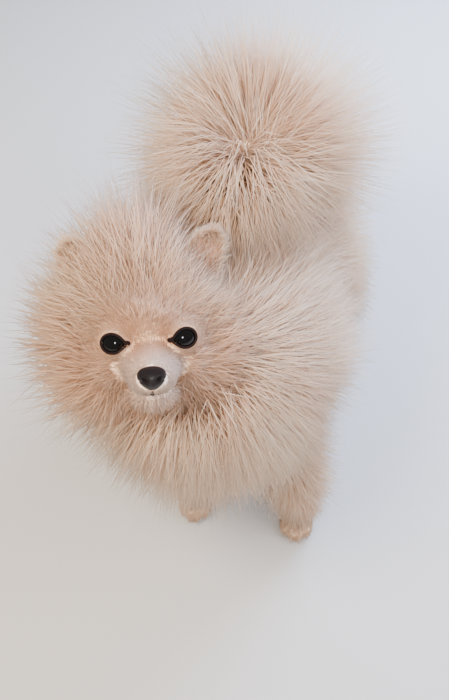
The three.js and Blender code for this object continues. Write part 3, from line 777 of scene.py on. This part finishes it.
# The coat.
def nearest_on(stations, points):
    """How far points are outside a limb, the way along it there, the share of its length and the way out."""
    rings = 40
    rows = catmull(stations, np.linspace(0, 1, rings))
    gap = np.linalg.norm(points[:, None, :] - rows[None, :, :3], axis=2)
    i = gap.argmin(1)
    along = np.gradient(rows[:, :3], axis=0)
    along /= np.linalg.norm(along, axis=1)[:, None]
    outside = gap[np.arange(len(points)), i] - rows[i, 3:].mean(1)
    return outside, along[i], i / (rings - 1), points - rows[i, :3]


def unit(rows):
    """Rows of length one."""
    return rows / np.maximum(np.linalg.norm(rows, axis=1), 1e-9)[:, None]


# Parts of the dog as the coat numbers them; the legs come after the tail. At roots in the working frame, the
# functions give how far outside their part these are, and the lie, length, lift and curl of its hair.
HEAD_PART, RUFF_PART, BODY_PART, TAIL_PART = range(4)
# The length of the down at the edge of the lids.
LID_DOWN = 1.1
FACE_CURL = 36.0
RUFF_LIFT, RUFF_CURL = 54.0, 44.0


def head_coat(roots, full):
    """Short on the face and longer all round it, lying away from the nose."""
    local = to_head(roots)
    side, front, up = local.T
    outside = np.linalg.norm(local * (1, 1, 1.08) - (0, 0, -5), axis=1) - 33
    outside = np.minimum(outside, np.linalg.norm((local - (0, -34, -20)) / (1, 1.3, 1), axis=1) - 16)
    facing = -(front - 4) / np.linalg.norm(local - (0, 4, -4), axis=1)
    angle = np.degrees(np.arccos(np.clip(facing, -1, 1)))
    lie = (local - (0, -46, -14)) @ TURN.T
    length = 3 + 14 * smooth(12, 31, angle) + 22 * smooth(28, 52, angle) + full * 0.4 * smooth(48, 80, angle)
    muzzle = smooth(-27, -36, front)
    down = 2.6 + 2.2 * smooth(5, 11, np.abs(side)) + 14 * smooth(-26, -33, up)
    length = length * (1 - muzzle) + down * muzzle
    for out in (1, -1):
        clear = smooth(1.15, 2.1, opening_share(roots, out)[0])
        length = LID_DOWN + (length - LID_DOWN) * clear
    crown = smooth(14, 32, up) * (1 - smooth(20, 34, np.abs(side)))
    length = length * (1 + 0.2 * smooth(4, -28, side) * smooth(50, 80, angle) + 0.4 * crown)
    for out, least in ((1, 0.42), (-1, 0.75)):
        ear = np.linalg.norm(local - (out * 31, 0, 31), axis=1)
        length = length * (least + (1 - least) * smooth(18, 34, ear))
    lift = 16 + 38 * smooth(30, 70, angle)
    return outside, lie, length, lift, np.full(len(roots), FACE_CURL)


def ruff_coat(roots, full):
    """The ruff, standing away from the face and falling over the chest."""
    count = len(roots)
    outside, _, share, away = nearest_on(NECK, roots)
    front = smooth(-20, -90, roots[:, 1])
    lie = np.stack([-0.25 + away[:, 0] * 0.012, 0.8 - 1.2 * front, -0.45 - 0.55 * front], 1)
    length = full * (1.0 + 0.08 * share)
    return outside + 1, lie, length, np.full(count, RUFF_LIFT), np.full(count, RUFF_CURL)


def torso_coat(roots, normals, full):
    """Back and down along the body, shorter under the belly and longer and more upright over the hips."""
    x, y, _ = roots.T
    outside, _, _, _ = nearest_on(TORSO, roots)
    chest = smooth(-20, -80, y)
    belly = smooth(-0.2, -0.8, normals[:, 2])
    hips = smooth(30, 80, y)
    lie = np.stack([x * 0.004, 1 - 1.25 * chest, -0.4 - 0.6 * chest], 1)
    lie += np.stack([x * 0.02 * hips, -0.3 * hips, 0.55 * hips], 1)
    length = full * (0.8 + 0.2 * smooth(-30, 20, y) * smooth(10, -20, x) + 0.34 * hips - 0.3 * belly)
    return outside, lie, length, 52 + 10 * hips - 12 * belly, 48 - 26 * hips


def tail_coat(roots, normals, full):
    """The plume: back from the tail's bend, and on from there towards its tip."""
    count = len(roots)
    outside, along, share, away = nearest_on(TAIL, roots)
    tip = smooth(0.5, 0.8, share)[:, None]
    lie = np.stack([roots[:, 0] * 0.05, np.full(count, 0.9), np.full(count, 0.15)], 1) * (1 - tip)
    fanned = np.stack([away[:, 0] * 0.14, np.zeros(count), np.full(count, -0.2)], 1)
    lie += (along * 0.6 + fanned) * tip
    length = full * (0.8 + 0.62 * smooth(0.05, 0.3, share) - 0.5 * smooth(0.6, 1, share))
    lift = 56 + 22 * smooth(0.1, 0.9, normals[:, 1]) - 16 * smooth(0.1, 0.9, normals[:, 2])
    return outside - 3, lie, length, lift, 18 + 20 * tip[:, 0]


def leg_coat(roots, normals, number):
    """Short and flat on the paws, and fluffy above them, most of all behind and on the thighs."""
    z = roots[:, 2]
    outside, _, _, _ = nearest_on(LEGS[number], roots)
    hind = number > 1
    if hind:
        (tx, ty, tz), radii, _ = THIGH
        centre = np.array([tx if number == 2 else -tx, ty, tz])
        outside = np.minimum(outside, (np.linalg.norm((roots - centre) / radii, axis=1) - 1) * 26)
    rear = smooth(0.0, 0.8, normals[:, 1])
    upper = smooth(18, 58, z)
    length = 4.6 + 9 * smooth(8, 24, z) + (26 + 6 * hind) * upper + 9 * rear * smooth(18, 50, z)
    foot = 1 - smooth(14, 22, z)
    lie = np.tile([0.0, 0.35, -1.0], (len(roots), 1))
    lie = lie * (1 - foot)[:, None] + np.array([0, -1.0, -0.35]) * foot[:, None]
    return outside + 2 * (z < 60), lie, length, 22 + 20 * upper, 16 + 18 * upper


# How softly the coat of one part passes into the next part's.
BLEND = 7


def coat_at(roots, normals, full):
    """The coat at roots of the working frame: lie, length, lift and curl in degrees, and nearest part."""
    parts = [head_coat(roots, full), ruff_coat(roots, full)]
    parts += [torso_coat(roots, normals, full), tail_coat(roots, normals, full)]
    parts += [leg_coat(roots, normals, number) for number in range(len(LEGS))]
    gaps = np.stack([part[0] for part in parts])
    weight = np.exp(-(gaps - gaps.min(0)) / BLEND)
    weight /= weight.sum(0)
    lie = sum(w[:, None] * unit(part[1]) for w, part in zip(weight, parts))
    lie -= normals * (lie * normals).sum(1)[:, None]
    length, lift, curl = (sum(w * part[i] for w, part in zip(weight, parts)) for i in (2, 3, 4))
    return unit(lie), length, lift, curl, gaps.argmin(0)


def sample(points, corners, weights, count, rng):
    """Random places on triangles, as dense as their weights say, with their normals."""
    a, b, c = (points[corners[:, i]] for i in range(3))
    cross = np.cross(b - a, c - a)
    area = np.linalg.norm(cross, axis=1)
    chance = area * weights
    chosen = rng.choice(len(corners), count, p=chance / chance.sum())
    u, v = rng.random(count), rng.random(count)
    over = u + v > 1
    u[over], v[over] = 1 - u[over], 1 - v[over]
    places = a[chosen] + (b - a)[chosen] * u[:, None] + (c - a)[chosen] * v[:, None]
    return places, unit(cross[chosen])


# The coat's furthest reach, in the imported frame.
REACH = np.array([[-118.5, -186.0, 0.5], [118.5, 187.0, 283.0]])
# Rings of each tuft below its tip.
RINGS = 2


def grow(roots, normals, hair, rng, clump, droop=0.0, wild=1.0):
    """The mesh arrays of tufts, each a closed tapering blade that bends over along its lie.

    The hair is its lie, length, lift, curl and width. Clump draws tips together, droop lowers them and wild
    scatters their directions.
    """
    lie, length, lift, curl, width = hair
    count = len(roots)
    angle = np.radians(lift + rng.normal(0, 9 * wild, count))
    swing = np.radians(rng.normal(0, 17 * wild, count))
    across = np.cross(normals, lie)
    lie = lie * np.cos(swing)[:, None] + across * np.sin(swing)[:, None]
    length = length * rng.uniform(0.78, 1.1, count)
    first = normals * np.sin(angle)[:, None] + lie * np.cos(angle)[:, None]
    bent = angle - np.radians(curl)
    second = normals * np.sin(bent)[:, None] + lie * np.cos(bent)[:, None]
    second[:, 2] -= droop
    start = roots - normals * np.minimum(1.2, length * 0.25)[:, None]
    middle = roots + first * (length * 0.5)[:, None]
    tip = middle + unit(second) * (length * 0.54)[:, None]
    room = np.clip(length, 8, 60)[:, None]
    cell = np.floor((roots + rng.normal(0, 1.2, roots.shape)) / room * 5)
    _, group = np.unique(cell.astype(np.int64) @ np.array([1, 4099, 16777259]), return_inverse=True)
    size = np.bincount(group).astype(float)
    for array, pull in ((middle, clump * 0.25), (tip, clump)):
        mean = np.stack([np.bincount(group, array[:, k]) for k in range(3)], 1) / size[:, None]
        array += (mean[group] - array) * pull
    shares = np.linspace(0, 1, RINGS + 1)
    profile = np.interp(shares, [0, 0.3, 0.7, 1], [0.75, 1, 0.62, 0])
    side = unit(np.cross(first, normals + 1e-3))
    levels = []
    for s, w in zip(shares[:-1], profile[:-1]):
        centre = start * (1 - s) ** 2 + middle * 2 * s * (1 - s) + tip * s**2
        heading = unit((middle - start) * (1 - s) + (tip - middle) * s)
        face = unit(np.cross(side, heading))
        for k in range(3):
            turn = 2 * math.pi * k / 3 + math.pi / 2
            offset = side * math.cos(turn) + face * (0.5 * math.sin(turn))
            levels.append(centre + offset * (width * w * 0.5)[:, None])
    levels.append(tip)
    verts = np.stack(levels, 1)
    verts = np.clip(verts, REACH[0] - SHIFT, REACH[1] - SHIFT)
    faces = [(0, 2, 1)]
    for r in range(RINGS - 1):
        for k in range(3):
            a, b = r * 3 + k, r * 3 + (k + 1) % 3
            faces += [(a, b, b + 3), (a, b + 3, a + 3)]
    last = (RINGS - 1) * 3
    faces += [(last + k, last + (k + 1) % 3, last + 3) for k in range(3)]
    share = np.append(np.repeat(shares[:-1], 3), 1)
    return verts, np.array(faces), share


class Unwrap:
    """A flat map of the skin and ears, to give each tuft the place of its root."""

    PATCH = 0.003

    def __init__(self):
        bm = bmesh.new()
        for name in ("skin", "pinna_left", "pinna_right"):
            bm.from_mesh(built(name).data)
        mesh = bpy.data.meshes.new("unwrap")
        bm.to_mesh(mesh)
        bm.free()
        holder = in_scene("unwrap", mesh)
        thin = holder.modifiers.new("thin", "DECIMATE")
        thin.ratio = 0.06
        depsgraph = bpy.context.evaluated_depsgraph_get()
        light = bpy.data.meshes.new_from_object(holder.evaluated_get(depsgraph))
        holder.modifiers.clear()
        holder.data = light
        bpy.data.meshes.remove(mesh)
        bpy.context.view_layer.objects.active = holder
        for other in bpy.context.selected_objects:
            other.select_set(False)
        holder.select_set(True)
        bpy.ops.object.mode_set(mode="EDIT")
        bpy.ops.mesh.select_all(action="SELECT")
        bpy.ops.uv.smart_project(angle_limit=math.radians(66), island_margin=0.004)
        bpy.ops.object.mode_set(mode="OBJECT")
        mesh = holder.data
        self.corners = corners_of(mesh)
        loops = read(mesh.loop_triangles, "loops", 3, np.int32)
        self.uv = read(mesh.uv_layers.active.data, "uv", 2, np.float32)[loops]
        self.points = points_of(mesh)
        self.tree = BVHTree.FromPolygons(self.points.tolist(), self.corners.tolist())
        bpy.data.objects.remove(holder)
        bpy.data.meshes.remove(mesh)

    def at(self, roots):
        """The map's place of each root."""
        found = [self.tree.find_nearest(Vector(root)) for root in roots]
        index = np.array([hit[2] for hit in found])
        place = np.array([tuple(hit[0]) for hit in found])
        a, b, c = (self.points[self.corners[index, i]] for i in range(3))
        e0, e1, e2 = b - a, c - a, place - a
        d00, d01, d11 = (e0 * e0).sum(1), (e0 * e1).sum(1), (e1 * e1).sum(1)
        d20, d21 = (e2 * e0).sum(1), (e2 * e1).sum(1)
        scale = np.maximum(d00 * d11 - d01 * d01, 1e-12)
        v = (d11 * d20 - d01 * d21) / scale
        w = (d00 * d21 - d01 * d20) / scale
        uv = self.uv[index]
        return uv[:, 0] * (1 - v - w)[:, None] + uv[:, 1] * v[:, None] + uv[:, 2] * w[:, None]


# The most triangles that one object of the coat may have.
MOST_TRIANGLES = 190000


def coat_pieces(name, finish, tufts, unwrap, roots, tone, chosen):
    """Objects of the coat, each small enough, from the chosen tufts of grow()."""
    if not chosen.any():
        return
    verts, faces, share = tufts
    verts, roots, tone = verts[chosen], roots[chosen], tone[chosen]
    count, corners = verts.shape[:2]
    uv = unwrap.at(roots)
    warm, white = markings(roots)
    most = MOST_TRIANGLES // len(faces)
    across = np.tile([-1, 0, 1], corners // 3 + 1)[:corners] * 0.5
    spread = np.stack([across, share - 0.5], 1) * Unwrap.PATCH
    order = np.argsort(roots[:, 1], kind="stable")
    for number, start in enumerate(range(0, count, most)):
        pick = order[start : start + most]
        n = len(pick)
        co = ((verts[pick].reshape(-1, 3) + SHIFT) * MM).astype(np.float32)
        tri = (faces[None] + (np.arange(n) * corners)[:, None, None]).reshape(-1).astype(np.int32)
        mesh = bpy.data.meshes.new(f"{name}_{number + 1}")
        mesh.vertices.add(len(co))
        mesh.vertices.foreach_set("co", co.ravel())
        mesh.loops.add(len(tri))
        mesh.loops.foreach_set("vertex_index", tri)
        mesh.polygons.add(len(tri) // 3)
        mesh.polygons.foreach_set("loop_start", np.arange(0, len(tri), 3, dtype=np.int32))
        mesh.polygons.foreach_set("use_smooth", np.ones(len(tri) // 3, bool))
        flat = (uv[pick][:, None, :] + spread[None]).reshape(-1, 2)[tri]
        layer = mesh.uv_layers.new(name="OFBake")
        layer.data.foreach_set("uv", np.clip(flat, 0, 1).astype(np.float32).ravel())
        set_attribute(mesh, "along", np.clip(share[None, :] * 0.75 + tone[pick][:, None], 0, 1).ravel())
        # The warm attribute carries painted shade on the face as well as the coat's own peach.
        set_attribute(mesh, "warm", np.repeat(warm[pick], corners))
        set_attribute(mesh, "white", np.repeat(white[pick], corners))
        mesh.update()
        mesh.materials.append(finish)
        made = in_scene(mesh.name, mesh)
        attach(made, "root")


# The long coat grows where the hair is at least this long, the down where it is at most this long, and this
# share of the outer tufts stands out from the rest.
LONG_COAT_FROM = 13
DOWN_UP_TO = 16
STRAYS = 0.06


class PUPPY_OT_coat(PuppyOperator, Operator):
    """The coat, as tufts that follow its lie over the whole skin and the ears"""

    bl_idname = "puppy.coat"
    bl_label = "Coat"

    def build(self, settings):
        rng = np.random.default_rng(settings.seed)
        full = settings.coat_length / MM
        finish = coat_material(settings)
        unwrap = Unwrap()
        points, corners, centres, normals = facets_of("skin")
        _, length, _, _, region = coat_at(centres, normals, full)
        skin = (points, corners, length, region, self.bare(centres))
        self.long_coat(settings, rng, unwrap, finish, skin, full)
        self.short_coat(settings, rng, unwrap, finish, skin, full)
        self.ear_coat(rng, unwrap, finish, settings.ear_tufts)

    def bare(self, centres):
        """True inside the eyes' openings, under the nose and on the soles."""
        hidden = centres[:, 2] < 1.2
        for out in (1, -1):
            share, distance = opening_share(centres, out)
            hidden |= (share < 1.2) & (distance < 12)
        nose = np.linalg.norm((to_head(centres) - NOSE) / (8.2, 6.2, 5.9), axis=1)
        return hidden | (nose < 1)

    def long_coat(self, settings, rng, unwrap, finish, skin, full):
        """A soft dense undercoat, and a longer and finer outer coat with a few stray hairs."""
        points, corners, length, region, bare = skin
        weights = np.where(bare | (length < LONG_COAT_FROM), 0, 1.0)
        weights = weights * (1 + 2.4 * (region == TAIL_PART) + 0.6 * (region == HEAD_PART))
        weights *= np.where(region == RUFF_PART, 1.5, 1)
        width = settings.tuft_width / MM
        for layer, number in (("under", settings.under_tufts), ("outer", settings.long_tufts)):
            roots, normals = sample(points, corners, weights, number, rng)
            lie, length, lift, curl, region = coat_at(roots, normals, full)
            stray = rng.random(number) < STRAYS
            widths = width * np.clip(length / full, 0.45, 1) * rng.uniform(0.7, 1.2, number)
            if layer == "under":
                hair = (lie, length * 0.84, lift + 2, curl * 0.9, widths * 1.7)
                tufts = grow(roots, normals, hair, rng, clump=0.06, droop=0.1, wild=1.7)
            else:
                hair = (lie, length, lift + np.where(stray, 16, 0), curl, widths * np.where(stray, 0.6, 1))
                wild = 1.35 + 0.7 * (region == TAIL_PART)
                tufts = grow(roots, normals, hair, rng, clump=0.12, droop=0.15, wild=wild)
            tone = rng.uniform(0.14, 0.36, number)
            for index, name in enumerate(("head", "ruff", "body", "tail", "thighs")):
                pick = region == index if index <= TAIL_PART else region > TAIL_PART
                coat_pieces(f"coat_{layer}_{name}", finish, tufts, unwrap, roots, tone, pick)

    def short_coat(self, settings, rng, unwrap, finish, skin, full):
        """Down on the face and the legs."""
        points, corners, length, region, bare = skin
        number = settings.short_tufts
        face = (region == HEAD_PART) & (to_head(points[corners[:, 0]])[:, 1] < -12)
        weights = np.where(bare | ((length > DOWN_UP_TO) & ~face), 0, 1.0)
        weights /= np.clip(length, 3, DOWN_UP_TO) ** 0.9
        weights *= np.where(region == HEAD_PART, 4.5, 1)
        roots, normals = sample(points, corners, weights, number, rng)
        lie, length, lift, curl, region = coat_at(roots, normals, full)
        length = np.where(region == HEAD_PART, np.minimum(length, 10), length)
        widths = np.clip(0.34 + length * 0.035, 0.38, 0.85) * rng.uniform(0.75, 1.2, number)
        hair = (lie, length, lift, curl * 0.5, widths)
        tufts = grow(roots, normals, hair, rng, clump=0.22, droop=0.04)
        # Painted shade: the down takes more of the darker root colour than the long coat does, in place of
        # the long coat's self-shadow.
        tone = rng.uniform(0.0, 0.25, number)
        coat_pieces("coat_face", finish, tufts, unwrap, roots, tone, region == HEAD_PART)
        coat_pieces("coat_legs", finish, tufts, unwrap, roots, tone, region != HEAD_PART)

    def ear_coat(self, rng, unwrap, finish, number):
        """Hair that fans out over the backs and rims of the ears, and thinner inside them."""
        for side, out in (("left", 1), ("right", -1)):
            points, corners, _, normals = facets_of(f"pinna_{side}")
            inside = (normals @ TURN)[:, 1] < -0.25
            roots, normals = sample(points, corners, np.where(inside, 0.45, 1.0), number, rng)
            local = to_head(roots)
            fan = (local - (out * 34, 6, 26)) @ TURN.T
            lie = unit(fan - normals * (normals * fan).sum(1)[:, None])
            length = 10.0 - 2.0 * smooth(20, 58, local[:, 2])
            hair = (lie, length, np.full(number, 24.0), 10, np.full(number, 0.5))
            tufts = grow(roots, normals, hair, rng, clump=0.2)
            tone = rng.uniform(0.15, 0.4, number)
            coat_pieces(f"coat_ear_{side}", finish, tufts, unwrap, roots, tone, np.full(number, True))


# Lamps: place and aim in working millimetres, size in metres, power in watts, colour, and whether the eyes
# mirror it.
LAMPS = {
    "key": ((-420, -260, 900), (-20, -20, 130), 0.5, 15, "FFEBD6", False),
    "fill": ((620, -200, 560), (0, 0, 120), 0.8, 6.0, "F2F1FF", False),
    "rim": ((330, 560, 520), (0, 40, 170), 0.45, 22.0, "C0D4FF", False),
    "catch": ((150, -620, 640), (-35, -80, 212), 0.14, 2.5, "FFFFFF", True),
}
SKY_COLOUR = "E9E6E4"
SKY_STRENGTH = 0.62
# The camera's place, its tilt, turn and roll in degrees, and its lens for a picture 36 mm high.
CAMERA_AT = (74.2, -355.3, 599.6)
CAMERA_ANGLES = (54, 14, 6.5)
CAMERA_FILM = 36
CAMERA_LENS = 900 / 700 * CAMERA_FILM


class PUPPY_OT_stage(PuppyOperator, Operator):
    """A pale floor, soft lights and the camera"""

    bl_idname = "puppy.stage"
    bl_label = "Stage"

    def build(self, settings):
        # Pale matt studio sheet.
        finish = plain_material("pale studio sheet", "C9C8C4", 0.9)
        bm = bmesh.new()
        bmesh.ops.create_grid(bm, x_segments=2, y_segments=2, size=6000)
        floor = piece("floor", bm, finish)
        for name, values in LAMPS.items():
            self.light(name, *values)
        world = bpy.data.worlds.new("studio")
        world.use_nodes = True
        sky = world.node_tree.nodes["Background"].inputs
        sky["Color"].default_value = linear(SKY_COLOUR)
        sky["Strength"].default_value = SKY_STRENGTH
        bpy.context.scene.world = world
        self.camera()

    def light(self, name, place, aim, size, power, code, mirrored):
        """A round lamp that faces its aim."""
        lamp = bpy.data.lights.new(name, "AREA")
        lamp.shape = "DISK"
        lamp.size = size
        lamp.energy = power
        lamp.color = linear(code)[:3]
        made = in_scene(name, lamp)
        made.location = Vector((np.array(place) + SHIFT) * MM)
        toward = Vector(aim) - Vector(place)
        made.rotation_euler = toward.to_track_quat("-Z", "Y").to_euler()
        made.visible_glossy = mirrored

    def camera(self):
        """The camera, looking down on the puppy from in front."""
        tilt, turn, roll = (math.radians(v) for v in CAMERA_ANGLES)
        right = Vector((math.cos(turn), math.sin(turn), 0))
        ahead = Vector((-math.sin(turn), math.cos(turn), 0))
        forward = ahead * math.cos(tilt) - Vector((0, 0, math.sin(tilt)))
        up = ahead * math.sin(tilt) + Vector((0, 0, math.cos(tilt)))
        x = right * math.cos(roll) - up * math.sin(roll)
        y = right * math.sin(roll) + up * math.cos(roll)
        data = bpy.data.cameras.new("camera")
        data.sensor_width = CAMERA_FILM
        data.lens = CAMERA_LENS
        data.dof.use_dof = False
        data.clip_start, data.clip_end = 0.01, 50
        made = in_scene("camera", data)
        turned = Matrix((x, y, -forward)).transposed().to_4x4()
        place = Vector((np.array(CAMERA_AT) + SHIFT) * MM)
        made.matrix_world = Matrix.Translation(place) @ turned
        bpy.context.scene.camera = made


class PUPPY_PT_panel(Panel):
    """The settings and the steps, in the 3D view's sidebar"""

    bl_label = "Puppy"
    bl_idname = "PUPPY_PT_panel"
    bl_space_type = "VIEW_3D"
    bl_region_type = "UI"
    bl_category = "Puppy"

    def draw(self, context):
        for name in PUPPY_PG_settings.__annotations__:
            self.layout.prop(context.scene.puppy, name)
        for step in STEPS:
            self.layout.operator(step.bl_idname)


STEPS = (
    PUPPY_OT_skin, PUPPY_OT_eyes, PUPPY_OT_nose, PUPPY_OT_ears, PUPPY_OT_paws, PUPPY_OT_coat,
    PUPPY_OT_stage,
)
CLASSES = (PUPPY_PG_settings, *STEPS, PUPPY_PT_panel)


def register():
    for item in CLASSES:
        bpy.utils.register_class(item)
    bpy.types.Scene.puppy = PointerProperty(type=PUPPY_PG_settings)


def unregister():
    del bpy.types.Scene.puppy
    for item in reversed(CLASSES):
        bpy.utils.unregister_class(item)


def main():
    """Builds everything."""
    register()
    bpy.ops.puppy.skin()
    bpy.ops.puppy.eyes()
    bpy.ops.puppy.nose()
    bpy.ops.puppy.ears()
    bpy.ops.puppy.paws()
    bpy.ops.puppy.coat()
    bpy.ops.puppy.stage()


if __name__ == "__main__":
    main()
